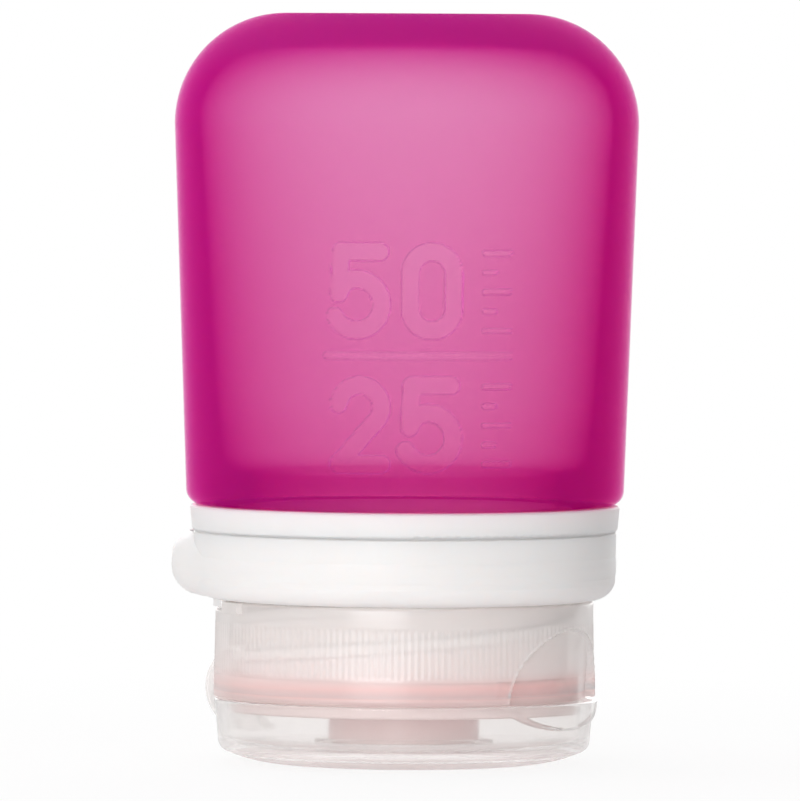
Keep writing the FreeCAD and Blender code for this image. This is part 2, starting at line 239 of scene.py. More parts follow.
# Cloud on the raised line round the scoop is a painted highlight that whitens its edge.
SCOOP_EDGE_PAINTED_HIGHLIGHT = 0.95
DECK_CLOUD = 0.78
LID_SIDE_CLOUD = 0.22
LID_PLATE_CLOUD = 0.52
LID_FACE_CLOUD = 0.08
LID_MILK_HEIGHTS = (0.45 * LID_ROUND_TOP, 0.8 * LID_ROUND_TOP)
LID_MILK_RADII = (LID_FLAT_R - 1.0, LID_FLAT_R + 2.5)
LID_EAR_CLOUD = 0.06
STRAP_CLOUD = 0.35
THREAD_CLOUD = 0.12

# Heights over which the lid's wall begins to bend what is seen through it
LID_BEND_HEIGHTS = (0.7 * LID_ROUND_TOP, 1.2 * LID_ROUND_TOP)

# Painted glow of the coral silicone behind a milky wall, painted into its colour as a pink tint: about 0.5
# under the deck, up to 1 over the seal
DECK_PAINTED_GLOW = 0.42
# Over the brightly lit skirt the tint runs towards a darker colour, which is painted shade.
SKIRT_PAINTED_GLOWS = (0.9, 0.75)
SKIRT_ROOT_PAINTED_GLOW = 0.35
LID_PAINTED_GLOW = 0.5
PAINTED_GLOW_TOP = 10.0


def line(start, end, count):
    """Points on a straight run, from start up to but not including end."""
    t = np.linspace(0.0, 1.0, count, endpoint=False)[:, None]
    return np.array(start) * (1 - t) + np.array(end) * t


def arc(centre, radius, start, end, count):
    """Points on a round run, from one angle in degrees up to but not including the other."""
    turn = np.radians(np.linspace(start, end, count, endpoint=False))
    return np.stack([centre[0] + radius * np.cos(turn), centre[1] + radius * np.sin(turn)], axis=1)


def put_mesh(name, points, close_rows=False, close_ends=False):
    """A grid of points as one mesh of quads, in which every row closes on itself.

    Points at a pole are merged. If asked, the last row joins the first, or the two end rows are filled.
    """
    rows, columns = points.shape[:2]
    index = np.arange(rows * columns).reshape(rows, columns)
    ends = [index[0, ::-1].tolist(), index[-1].tolist()] if close_ends else []
    if close_rows:
        index = np.concatenate([index, index[:1]], axis=0)
    index = np.concatenate([index, index[:, :1]], axis=1)
    quads = np.stack([index[:-1, :-1], index[:-1, 1:], index[1:, 1:], index[1:, :-1]], axis=-1)
    mesh = bpy.data.meshes.new(name)
    mesh.from_pydata((points.reshape(-1, 3) * MM).tolist(), [], quads.reshape(-1, 4).tolist() + ends)
    tidy = bmesh.new()
    tidy.from_mesh(mesh)
    bmesh.ops.remove_doubles(tidy, verts=tidy.verts, dist=MERGE_DISTANCE)
    bmesh.ops.recalc_face_normals(tidy, faces=tidy.faces)
    tidy.to_mesh(mesh)
    tidy.free()
    mesh.shade_smooth()
    mesh.set_sharp_from_angle(angle=math.radians(SMOOTH_ANGLE))
    obj = bpy.data.objects.new(name, mesh)
    bpy.context.scene.collection.objects.link(obj)
    return obj


def step_up(value, low, high):
    """0 below low, 1 above high, and a smooth rise between them."""
    t = np.clip((value - low) / (high - low), 0.0, 1.0)
    return t * t * (3 - 2 * t)


def between(value, low, high, rise, fall):
    """0 below low and above high, and 1 between them, with a smooth rise and fall inside those limits."""
    return step_up(value, low, low + rise) * step_up(-value, -high, -high + fall)


def with_cap(points):
    """Turns points of the cap about the axis to the angle at which the cap stops."""
    turn = math.radians(CAP_TURN)
    x, y, z = points[..., 0], points[..., 1], points[..., 2]
    turned_x = x * math.cos(turn) - y * math.sin(turn)
    turned_y = x * math.sin(turn) + y * math.cos(turn)
    return np.stack([turned_x, turned_y, z], axis=-1)


def label(obj, name, values):
    """Keeps one number per point of a mesh, for its material to read."""
    attribute = obj.data.attributes.new(name, "FLOAT", "POINT")
    attribute.data.foreach_set("value", np.asarray(values, dtype=np.float32))


def label_all(obj, name, value):
    """Keeps the same number at every point of a mesh."""
    label(obj, name, np.full(len(obj.data.vertices), value))


def places(obj):
    """Every point of a mesh in millimetres."""
    flat = np.empty(len(obj.data.vertices) * 3, dtype=np.float32)
    obj.data.vertices.foreach_get("co", flat)
    return flat.reshape(-1, 3) / MM


def angle_from(place, zero):
    """Angle of each point about the bottle's axis, in degrees to either side of zero."""
    return (np.degrees(np.arctan2(place[:, 1], place[:, 0])) - zero + 180.0) % 360.0 - 180.0


def round_axis(radius, height, turn):
    """Points at a radius and a height, turned about the bottle's axis by an angle in radians."""
    return np.stack([radius * np.cos(turn), radius * np.sin(turn), height], axis=-1)


def profile_grid(profile, angles):
    """Radius, height and turn of a profile of (radius, height): rows follow it, columns the angles."""
    turn, radius = np.meshgrid(np.radians(angles), profile[:, 0])
    height = np.repeat(profile[:, 1][:, None], len(angles), axis=1)
    return radius, height, turn


def turned(profile, angles):
    """A profile of (radius, height) carried round the bottle's axis."""
    return round_axis(*profile_grid(profile, angles))


def near_segment(x, y, a, b):
    """Distance to a straight stroke from a to b."""
    dx, dy = b[0] - a[0], b[1] - a[1]
    t = np.clip(((x - a[0]) * dx + (y - a[1]) * dy) / (dx * dx + dy * dy), 0.0, 1.0)
    return np.hypot(x - a[0] - t * dx, y - a[1] - t * dy)


def near_arc(x, y, centre, radius, start, end):
    """Distance to a round stroke that runs from one angle in degrees to another."""
    middle, half = math.radians((start + end) / 2), math.radians(abs(end - start) / 2)
    px, py = x - centre[0], y - centre[1]
    turn = np.arctan2(py, px) - middle
    turn = np.clip((turn + math.pi) % (2 * math.pi) - math.pi, -half, half) + middle
    return np.hypot(px - radius * np.cos(turn), py - radius * np.sin(turn))


def digit_lines():
    """The middle lines of a digit's box: its two sides, its foot and its head."""
    half = STROKE / 2
    return (half, DIGIT_WIDE - half), half, DIGIT_TALL - half


def near_zero(x, y):
    """Distance to the middle of a nought's stroke: two straight sides closed by half circles."""
    side, low, high = digit_lines()
    radius = (side[1] - side[0]) / 2
    middle = (side[0] + side[1]) / 2
    return np.minimum.reduce([
        near_segment(x, y, (side[0], low + radius), (side[0], high - radius)),
        near_segment(x, y, (side[1], low + radius), (side[1], high - radius)),
        near_arc(x, y, (middle, high - radius), radius, 0, 180),
        near_arc(x, y, (middle, low + radius), radius, 180, 360),
    ])


def near_five(x, y):
    """Distance to the middle of a five's stroke: a bar, a stem and an open bowl."""
    side, low, high = digit_lines()
    bowl = (side[1] - FIVE_BOWL_R, low + FIVE_BOWL_R)
    bar_inset = 0.2
    bar = (side[0] + bar_inset, high), (side[1] - bar_inset, high)
    stem_foot = (side[0], bowl[1] + 1.1)
    bowl_start = (bowl[0] - 1.2, bowl[1] + 2.2)
    return np.minimum.reduce([
        near_segment(x, y, *bar),
        near_segment(x, y, bar[0], stem_foot),
        near_segment(x, y, stem_foot, bowl_start),
        near_arc(x, y, bowl, FIVE_BOWL_R, -152, 119),
    ])


def near_two(x, y):
    """Distance to the middle of a two's stroke: a round top, a slope and a foot."""
    side, low, high = digit_lines()
    radius = (side[1] - side[0]) / 2
    top = (side[0] + radius, high - radius)
    last = -32
    turn = math.radians(last)
    leave = (top[0] + radius * math.cos(turn), top[1] + radius * math.sin(turn))
    return np.minimum.reduce([
        near_arc(x, y, top, radius, last, 172),
        near_segment(x, y, leave, (side[0] + 0.1, low)),
        near_segment(x, y, (side[0], low), (side[1], low)),
    ])


def mark_mask(across, up):
    """How far each point is inside the sunk marks, from 0 to 1: two numbers, a bar and two rows of ticks."""
    second = MARKS_LEFT + DIGIT_WIDE + DIGIT_GAP
    digits = np.minimum.reduce([
        near_five(across - MARKS_LEFT, up - UPPER_ROW_Z),
        near_zero(across - second, up - UPPER_ROW_Z),
        near_two(across - MARKS_LEFT, up - LOWER_ROW_Z),
        near_five(across - second, up - LOWER_ROW_Z),
    ]) - STROKE / 2
    half_bar = BAR_THICK / 2
    bar = near_segment(across, up, (BAR_LEFT + half_bar, BAR_Z), (BAR_RIGHT - half_bar, BAR_Z)) - half_bar
    ticks = np.full_like(across, 99.0)
    half_tick = TICK_THICK / 2
    for foot in (UPPER_ROW_Z, LOWER_ROW_Z):
        for number in range(TICKS):
            level = foot + half_tick + TICK_FOOT + number * TICK_STEP
            length = TICK_LONG if number % 2 == 0 else TICK_SHORT
            ends = (TICK_LEFT + half_tick, level), (TICK_LEFT + length - half_tick, level)
            ticks = np.minimum(ticks, near_segment(across, up, *ends) - half_tick)
    outside = np.minimum.reduce([digits, bar, ticks])
    return step_up(-outside, -0.5 * MARK_EDGE, 0.5 * MARK_EDGE)


def body_profile():
    """Section of the bottle: inside of the base, down to the mouth, over its bead and up to the outside.

    The inside of the base is a shallow parabola that meets the round corner at the angle BASE_DOME.
    """
    lean = math.radians(BASE_DOME)
    corner_r = BODY_MAX_R - WALL - BASE_INNER_ROUND
    dome_r = corner_r + BASE_INNER_ROUND * math.sin(lean)
    dome_rise = 0.5 * dome_r * math.tan(lean)
    dome_foot = BODY_TOP - BASE_WALL - dome_rise
    inner_corner = (corner_r, dome_foot - BASE_INNER_ROUND * math.cos(lean))
    out = np.linspace(0.0, 1.0, 12, endpoint=False)
    outer_corner = (BODY_MAX_R - BASE_ROUND, BODY_TOP - BASE_ROUND)
    slope = (BODY_MAX_R - BODY_FOOT_R) / (outer_corner[1] - BODY_FOOT - FOOT_ROUND)
    neck_wall_r = BODY_FOOT_R + slope * (NECK_WALL_Z - BODY_FOOT - FOOT_ROUND) - WALL_AT_NECK
    floor_z = FLOOR_Z + FLOOR_ROUND
    floor_wall_r = BODY_FOOT_R + slope * (floor_z - BODY_FOOT - FOOT_ROUND) - WALL_AT_FLOOR
    floor_corner = (floor_wall_r - FLOOR_ROUND, floor_z)
    foot = (BODY_FOOT_R - FOOT_ROUND, BODY_FOOT + FOOT_ROUND)
    side_start = (BODY_FOOT_R, foot[1])
    marks_low, marks_high = MARKS_HEIGHTS
    marks_start = (BODY_FOOT_R + slope * marks_low, foot[1] + marks_low)
    marks_end = (BODY_FOOT_R + slope * marks_high, foot[1] + marks_high)
    return np.concatenate([
        np.stack([dome_r * out, dome_foot + dome_rise * (1.0 - out ** 2)], axis=1),
        arc(inner_corner, BASE_INNER_ROUND, 90.0 - BASE_DOME, 0, 20),
        line((BODY_MAX_R - WALL, inner_corner[1]), (neck_wall_r, NECK_WALL_Z), 12),
        line((neck_wall_r, NECK_WALL_Z), (floor_wall_r, floor_z), 6),
        arc(floor_corner, FLOOR_ROUND, 0, -90, 10),
        line((floor_corner[0], FLOOR_Z), (FLOOR_BORE_R, FLOOR_Z), 2),
        line((FLOOR_BORE_R, FLOOR_Z), (FLOOR_BORE_R, SPIGOT_Z), 2),
        line((FLOOR_BORE_R, SPIGOT_Z), (MOUTH_R - SPIGOT_EDGE, SPIGOT_Z), 2),
        line((MOUTH_R - SPIGOT_EDGE, SPIGOT_Z), (MOUTH_R, SPIGOT_Z - SPIGOT_EDGE), 2),
        line((MOUTH_R, SPIGOT_Z - SPIGOT_EDGE), (MOUTH_R, MOUTH_Z), 3),
        line((MOUTH_R, MOUTH_Z), (BEAD_R, MOUTH_Z), 3),
        line((BEAD_R, MOUTH_Z), (BEAD_R, BEAD_Z), 2),
        line((BEAD_R, BEAD_Z), (BEAD_GROOVE_R, BEAD_Z), 2),
        line((BEAD_GROOVE_R, BEAD_Z), (BEAD_GROOVE_R, BODY_FOOT), 2),
        line((BEAD_GROOVE_R, BODY_FOOT), (foot[0], BODY_FOOT), 2),
        arc(foot, FOOT_ROUND, -90, 0, 10),
        line(side_start, marks_start, 3),
        line(marks_start, marks_end, 164),
        line(marks_end, (BODY_MAX_R, outer_corner[1]), 8),
        arc(outer_corner, BASE_ROUND, 0, 90, 26),
        line((outer_corner[0], BODY_TOP), (0.0, BODY_TOP), 6),
        np.array([[0.0, BODY_TOP]]),
    ])


def bottle_wall():
    """Silicone bottle: its section turned about the axis, pressed in along the radius where the marks are.

    Columns are close together across the front, where the marks need them, and wide apart behind.
    """
    first, last = FRONT - MARKS_HALF_ANGLE, FRONT + MARKS_HALF_ANGLE
    front_angles = np.linspace(first, last, 156, endpoint=False)
    back_angles = np.linspace(last, first + 360.0, 100, endpoint=False)
    angles = np.concatenate([front_angles, back_angles])
    profile = body_profile()
    points = turned(profile, angles)
    on_outside = profile[:, 0] > outer_radius(profile[:, 1]) - 0.5 * WALL
    across = profile[:, 0][:, None] * np.radians(angles - FRONT)[None, :]
    mask = mark_mask(across, points[..., 2])
    in_front = (np.abs(angles - FRONT) < MARKS_HALF_ANGLE)[None, :]
    mask = mask * in_front * on_outside[:, None]
    keep = 1.0 - mask * MARK_DEPTH / np.maximum(profile[:, 0], 1.0)[:, None]
    points[..., :2] *= keep[..., None]
    wall = put_mesh("bottle_wall", points)
    label_bottle(wall)
    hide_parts("silicone_body")
    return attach(wall, "bottle")


def label_bottle(wall):
    """Cloud on the outer skin of the bottle, with more on its base as painted light and the most on the
    edges of the marks as painted shade.
    """
    place = places(wall)
    reach = np.hypot(place[:, 0], place[:, 1])
    across = reach * np.radians(angle_from(place, FRONT))
    outer = reach > outer_radius(place[:, 2]) - MARK_DEPTH - 0.3
    outer = outer | (place[:, 2] > BODY_TOP - 0.5 * BASE_WALL)
    sunk = mark_mask(across, place[:, 2]) * (place[:, 1] < 0)
    # Painted light: the cloud rises on the base, which lightens the top band that the light from above falls
    # on.
    skin = BODY_CLOUD + (BASE_PAINTED_LIGHT_CLOUD - BODY_CLOUD) * step_up(place[:, 2], *BASE_PAINTED_LIGHT_HEIGHTS)
    # Painted shade: the edges of the marks get more cloud, which darkens them.
    mark_edge_painted_shade = 4.0 * sunk * (1.0 - sunk)
    label(wall, "cloud", outer * (skin + MARK_EDGE_PAINTED_SHADE * mark_edge_painted_shade))


def outer_radius(height):
    """Outer radius of the bottle at a height: its tapered side, rounded over into the base."""
    corner_z = BODY_TOP - BASE_ROUND
    low = BODY_FOOT + FOOT_ROUND
    side = BODY_FOOT_R + (BODY_MAX_R - BODY_FOOT_R) * (np.minimum(height, corner_z) - low) / (corner_z - low)
    above = np.clip(height - corner_z, 0.0, BASE_ROUND)
    return side - BASE_ROUND + np.sqrt(BASE_ROUND ** 2 - above ** 2)


def cap_profile():
    """Closed section of the screw cap: boss, deck, skirt, the skirt's neck with its snap beads, and bore."""
    boss_corner = (BOSS_R - BOSS_EDGE, BOSS_END + BOSS_EDGE)
    step_corner = (DECK_STEP_R - DECK_EDGE, DECK_BOTTOM + DECK_EDGE)
    foot_corner = (SKIRT_FOOT_R - SKIRT_FOOT_EDGE, SEAM + SKIRT_FOOT_EDGE)
    top_corner = (SKIRT_R - SKIRT_EDGE, SKIRT_STEP - SKIRT_EDGE)
    tip = (SKIRT_NECK_R - SKIRT_TIP_EDGE, SKIRT_TOP - SKIRT_TIP_EDGE)
    (low, low_top), (high, high_top) = SNAP_BEADS
    return np.concatenate([
        line((ORIFICE_R, BOSS_END), (boss_corner[0], BOSS_END), 2),
        arc(boss_corner, BOSS_EDGE, -90, 0, 5),
        line((BOSS_R, boss_corner[1]), (BOSS_R, DECK_BOTTOM), 2),
        line((BOSS_R, DECK_BOTTOM), (step_corner[0], DECK_BOTTOM), 3),
        arc(step_corner, DECK_EDGE, -90, 0, 3),
        line((DECK_STEP_R, step_corner[1]), (DECK_STEP_R, SEAM), 2),
        line((DECK_STEP_R, SEAM), (foot_corner[0], SEAM), 2),
        arc(foot_corner, SKIRT_FOOT_EDGE, -90, 0, 3),
        line((SKIRT_FOOT_R, foot_corner[1]), (SKIRT_R, top_corner[1]), 56),
        arc(top_corner, SKIRT_EDGE, 0, 90, 4),
        line((top_corner[0], SKIRT_STEP), (SKIRT_NECK_R, SKIRT_STEP), 1),
        line((SKIRT_NECK_R, SKIRT_STEP), (SKIRT_NECK_R, low), 2),
        line((SNAP_BEAD_R, low), (SNAP_BEAD_R, low_top), 1),
        line((SNAP_BEAD_R, low_top), (SKIRT_NECK_R, low_top), 1),
        line((SKIRT_NECK_R, low_top), (SKIRT_NECK_R, high), 2),
        line((SNAP_BEAD_R, high), (SKIRT_NECK_R, high_top), 1),
        line((SKIRT_NECK_R, high_top), (SKIRT_NECK_R, tip[1]), 3),
        line((SKIRT_NECK_R, tip[1]), (tip[0], SKIRT_TOP), 2),
        line((tip[0], SKIRT_TOP), (SKIRT_BORE_R, SKIRT_TOP), 2),
        line((SKIRT_BORE_R, SKIRT_TOP), (SKIRT_BORE_R, DECK_TOP), 6),
        line((SKIRT_BORE_R, DECK_TOP), (VALVE_BORE_R, DECK_TOP), 3),
        line((VALVE_BORE_R, DECK_TOP), (VALVE_BORE_R, VALVE_SEAT), 3),
        line((VALVE_BORE_R, VALVE_SEAT), (ORIFICE_R, VALVE_SEAT), 2),
        line((ORIFICE_R, VALVE_SEAT), (ORIFICE_R, BOSS_END), 2),
    ])


def scoop_oval(turn, height):
    """Distance from the middle of the scoop's oval: 1 on its edge, and far away on the cap's other side."""
    aside = SKIRT_FOOT_R * np.sin(turn)
    oval = np.sqrt((aside / SCOOP_HALF_WIDTH) ** 2 + ((height - SEAM) / SCOOP_HEIGHT) ** 2)
    return np.where(np.cos(turn) > 0, oval, 99.0)


def scoop_edge(oval):
    """1 on the raised line round the scoop, and 0 away from it."""
    return np.exp(-(((oval - SCOOP_BEAD_AT) / SCOOP_BEAD_WIDE) ** 2))


def cap_skirt_radius(radius, height, turn):
    """Radius of the skirt's outside with the grip and the scoop cut in it.

    The grip is a cosine round the skirt, faded out at its two ends. The scoop is a ramp that leans outwards
    with height, inside an oval, with a thin raised line along the oval's edge.
    """
    oval = scoop_oval(turn, height)
    inside = 1.0 - step_up(oval, 1.0 - SCOOP_SOFT, 1.0 + SCOOP_SOFT)
    groove = 0.5 - 0.5 * np.cos(GRIP_RIBS * turn)
    grip = between(height, GRIP_LOW, GRIP_HIGH, GRIP_FADE, GRIP_FADE)
    gripped = radius - GRIP_DEPTH * groove * grip
    ramp = SCOOP_SEAM_R + (SCOOP_TOP_R - SCOOP_SEAM_R) * (height - SEAM) / (SCOOP_HEIGHT + 1.0)
    return gripped * (1 - inside) + np.minimum(radius, ramp) * inside + SCOOP_BEAD * scoop_edge(oval)


def seal_band(height):
    """1 at the heights where the seal is behind the skirt, and 0 above and below, with soft edges."""
    return between(height, *SEAL_HEIGHTS, SEAL_FADE, SEAL_FADE)


def thin_patch(angle):
    """1 along the patch where the skirt is thin, and 0 elsewhere, with soft ends."""
    return between(angle, *THIN_PATCH_ANGLES, *THIN_PATCH_FADES)


def cap_shell():
    """Screw cap: its closed section turned about the axis, with grip and scoop worked into the skirt.

    The skirt's top edge is lifted up to the ring all round, apart from the notch.
    """
    profile = cap_profile()
    angles = np.linspace(0.0, 360.0, 4 * GRIP_RIBS, endpoint=False)
    radius, height, turn = profile_grid(profile, angles)
    outside = (radius > SKIRT_BORE_R + 1.0) & (height >= SEAM) & (height < SKIRT_STEP)
    radius = np.where(outside, cap_skirt_radius(radius, height, turn), radius)
    around = (angles + CAP_TURN) % 360.0
    raised = ((around < NOTCH_START) | (around > NOTCH_END))[None, :]
    edge_low, edge_high = SKIRT_STEP - SKIRT_EDGE - 0.01, SNAP_BEADS[0][1] + 0.01
    top_edge = (radius > SKIRT_BORE_R + 0.5) & (height > edge_low) & (height < edge_high)
    radius = np.where(raised & top_edge & (height > SKIRT_STEP), SKIRT_NECK_R, radius)
    height = np.where(raised & top_edge, np.minimum(height + STOP_HIGH - SKIRT_STEP, STOP_HIGH), height)
    shell = put_mesh("cap_shell", with_cap(round_axis(radius, height, turn)), close_rows=True)
    label_cap(shell)
    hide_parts("cap_base")
    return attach(shell, "cap")


def label_cap(shell):
    """How clear the cap is at each point, and the painted glow of the coral silicone behind its walls, with
    painted light at the skirt's foot and a painted highlight on the scoop's edge.
    """
    place = places(shell)
    reach = np.hypot(place[:, 0], place[:, 1])
    on_skirt = reach > SKIRT_BORE_R + 0.3
    on_deck = ~on_skirt & (place[:, 2] < DECK_TOP + 0.1)
    angle = angle_from(place, CAP_TURN)
    # Painted light at the foot of the skirt: its cloud and paler tint lighten the shaded seam between the
    # lid and the skirt.
    root = 1.0 - step_up(place[:, 2], SKIRT_ROOT_TOP - 0.2, SKIRT_ROOT_TOP + 0.2)
    edge = scoop_edge(scoop_oval(np.radians(angle), place[:, 2])) * (place[:, 2] > SEAM + 0.3)
    skirt = SKIRT_CLOUD + (SKIRT_ROOT_PAINTED_LIGHT - SKIRT_CLOUD) * root
    seal = np.interp(np.abs(angle), SEAL_CLOUD_ANGLES, SEAL_CLOUDS)
    skirt = skirt + (seal - skirt) * seal_band(place[:, 2])
    skirt = skirt + (THIN_PATCH_CLOUD - skirt) * thin_patch(angle) * seal_band(place[:, 2])
    # Painted highlight: the raised line round the scoop is made milkier, and so whiter.
    skirt = skirt + (SCOOP_EDGE_PAINTED_HIGHLIGHT - skirt) * edge
    label(shell, "clear", 1.0 - on_skirt * skirt - on_deck * DECK_CLOUD)
    # Painted glow: a pink tint for the coral silicone behind the deck and the low skirt, fading out higher
    # up.
    low = 1.0 - step_up(place[:, 2], DECK_TOP, PAINTED_GLOW_TOP)
    painted_glow_share = np.interp(np.abs(angle), SEAL_CLOUD_ANGLES, SKIRT_PAINTED_GLOWS)
    painted_glow_share = painted_glow_share * low * (1.0 - root) + SKIRT_ROOT_PAINTED_GLOW * root
    label(shell, "painted_glow", on_deck * DECK_PAINTED_GLOW + on_skirt * painted_glow_share)
    label(shell, "dense", on_deck * 1.0)


def lid_profile():
    """Section of the lid: from the middle of its face, round the rim and inside to the top of its plug."""
    corner = (LID_SIDE_R - LID_ROUND, LID_ROUND_TOP)
    reach = corner[0] - LID_FLAT_R
    face_round = (reach ** 2 + LID_ROUND_TOP ** 2 - LID_ROUND ** 2) / (2 * (LID_ROUND_TOP - LID_ROUND))
    meet = math.degrees(math.atan2(LID_ROUND_TOP - face_round, reach))
    inner = (LID_BORE_R - LID_INNER_ROUND, LID_PLATE_TOP + LID_INNER_ROUND)
    ring_in = LID_RING_R - LID_RING_WALL
    ring_edge = LID_RING_TOP - LID_EDGE
    plug_edge = (LID_PLUG_R - LID_PLUG_EDGE, LID_PLUG_TOP - LID_PLUG_EDGE)
    return np.concatenate([
        line((0.0, 0.0), (LID_FLAT_R, 0.0), 5),
        arc((LID_FLAT_R, face_round), face_round, -90, meet, 12),
        arc(corner, LID_ROUND, meet, 0, 10),
        line((LID_SIDE_R, LID_ROUND_TOP), (LID_RIM_R, LID_RIM - LID_EDGE), 36),
        arc((LID_RIM_R - LID_EDGE, LID_RIM - LID_EDGE), LID_EDGE, 0, 90, 4),
        line((LID_RIM_R - LID_EDGE, LID_RIM), (LID_BORE_R, LID_RIM), 2),
        line((LID_BORE_R, LID_RIM), (LID_BORE_R, inner[1]), 4),
        arc(inner, LID_INNER_ROUND, 0, -90, 8),
        line((inner[0], LID_PLATE_TOP), (LID_RING_R, LID_PLATE_TOP), 4),
        line((LID_RING_R, LID_PLATE_TOP), (LID_RING_R, ring_edge), 2),
        arc((LID_RING_R - LID_EDGE, ring_edge), LID_EDGE, 0, 90, 3),
        arc((ring_in + LID_EDGE, ring_edge), LID_EDGE, 90, 180, 3),
        line((ring_in, ring_edge), (ring_in, LID_PLATE_TOP), 2),
        line((ring_in, LID_PLATE_TOP), (LID_PLUG_R, LID_PLATE_TOP), 3),
        line((LID_PLUG_R, LID_PLATE_TOP), (LID_PLUG_R, plug_edge[1]), 2),
        arc(plug_edge, LID_PLUG_EDGE, 0, 90, 4),
        line((plug_edge[0], LID_PLUG_TOP), (0.0, LID_PLUG_TOP), 3),
        np.array([[0.0, LID_PLUG_TOP]]),
    ])


def lid_shell():
    """Flip lid: its section turned about the axis, drawn out to a lip inside an oval below the scoop."""
    profile = lid_profile()
    angles = np.linspace(0.0, 360.0, 400, endpoint=False)
    radius, height, turn = profile_grid(profile, angles)
    aside = LID_RIM_R * np.sin(turn)
    oval = np.sqrt((aside / SCOOP_HALF_WIDTH) ** 2 + ((height - LID_RIM) / LIP_HEIGHT) ** 2)
    inside = 1.0 - step_up(oval, *LIP_SOFT)
    lip = inside * (np.cos(turn) > 0) * (radius > LID_SIDE_R - 0.1)
    radius = radius + lip * (LIP_PROUD_R - LID_RIM_R)
    shell = put_mesh("lid_shell", with_cap(round_axis(radius, height, turn)))
    label_lid(shell)
    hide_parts("flip_lid")
    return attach(shell, "lid")


def label_lid(shell):
    """How clear the lid is, and its painted coral glow: a clear side above a milky edge, and a clear face.
    """
    place = places(shell)
    reach = np.hypot(place[:, 0], place[:, 1])
    low = 1.0 - step_up(place[:, 2], *LID_MILK_HEIGHTS)
    outer = (reach > LID_BORE_R + 0.2) | (place[:, 2] < 0.5 * LID_PLATE_TOP)
    edge = step_up(reach, *LID_MILK_RADII)
    plate = LID_FACE_CLOUD + (LID_PLATE_CLOUD - LID_FACE_CLOUD) * edge
    label(shell, "clear", 1.0 - outer * (LID_SIDE_CLOUD + (plate - LID_SIDE_CLOUD) * low))
    # Painted glow of the coral parts behind the lid's milky edge.
    label(shell, "painted_glow", LID_PAINTED_GLOW * low * edge)
    label(shell, "bends", step_up(place[:, 2], *LID_BEND_HEIGHTS))
    label_all(shell, "dense", 1.0)


def hinge_ear(name, side, root_x, body):
    """Wedge that carries the hinge film, as one section drawn in x and z and carried across the hinge."""
    near = SEAM + side * (FILM_R + (0.0 if side > 0 else LID_EAR_GAP))
    face_x = HINGE_X + EAR_GAP
    far = near + side * EAR_REACH
    middle = near + side * 0.45 * EAR_REACH
    section = np.array([
        (root_x, near), (face_x, near), (face_x, middle), (root_x - EAR_ROOT, far), (root_x, far)])
    across = np.linspace(-EAR_HALF_WIDTH, EAR_HALF_WIDTH, 5)
    points = np.stack([
        np.repeat(section[None, :, 0], len(across), axis=0),
        np.repeat(across[:, None], len(section), axis=1),
        np.repeat(section[None, :, 1], len(across), axis=0)], axis=-1)
    ear = put_mesh(name, with_cap(points), close_ends=True)
    label_all(ear, "clear", 1.0 - (SKIRT_CLOUD if side > 0 else LID_EAR_CLOUD))
    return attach(ear, body)


def ring_stop(name, start):
    """Block on the skirt's neck that ends the loop ring's turn: a small section carried round an arc."""
    root_r = SKIRT_NECK_R - STOP_SUNK
    section = np.array([(root_r, STOP_LOW), (STOP_R, STOP_LOW), (STOP_R, STOP_HIGH), (root_r, STOP_HIGH)])
    points = turned(section, np.linspace(start, start + STOP_SPAN, 9)).transpose(1, 0, 2)
    stop = put_mesh(name, points, close_ends=True)
    label_all(stop, "clear", 1.0 - SKIRT_CLOUD)
    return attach(stop, "cap")


def collar_seat():
    """Seat under the collar: a small section carried round the axis, just clear of the loop ring."""
    section = np.array([
        (SEAT_INNER_R, SEAT_LOW), (SEAT_R, SEAT_LOW), (SEAT_R, SEAT_HIGH), (SEAT_INNER_R, SEAT_HIGH)])
    angles = np.linspace(0.0, 360.0, 180, endpoint=False)
    seat = put_mesh("collar_seat", turned(section, angles), close_rows=True)
    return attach(seat, "bottle")


def hinge_strap(name, side):
    """Bowed strap beside the hinge film: a flat rounded section carried along an arc from skirt to lid.

    The section is a superellipse.
    """
    root_x = -math.sqrt(SKIRT_R ** 2 - STRAP_MIDDLE_Y ** 2) + STRAP_SUNK
    middle_z = (STRAP_TOP + STRAP_FOOT) / 2
    rise = (STRAP_TOP - STRAP_FOOT) / 2
    sag = root_x - STRAP_PEAK_X
    radius = (rise ** 2 + sag ** 2) / (2 * sag)
    half = math.asin(rise / radius)
    turn = np.linspace(-half, half, 33)[:, None]
    corner = np.linspace(0.0, 2 * math.pi, 20, endpoint=False)[None, :]
    thick = 0.5 * STRAP_THICK * np.sign(np.cos(corner)) * np.abs(np.cos(corner)) ** STRAP_CORNER
    wide = 0.5 * STRAP_WIDE * np.sign(np.sin(corner)) * np.abs(np.sin(corner)) ** STRAP_CORNER
    reach = radius - 0.5 * STRAP_THICK + thick
    centre_x = STRAP_PEAK_X + radius
    points = np.stack([
        centre_x - reach * np.cos(turn),
        side * STRAP_MIDDLE_Y + wide + 0.0 * turn,
        middle_z - reach * np.sin(turn)], axis=-1)
    strap = put_mesh(name, with_cap(points), close_ends=True)
    label_all(strap, "clear", 1.0 - STRAP_CLOUD)
    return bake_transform(strap)


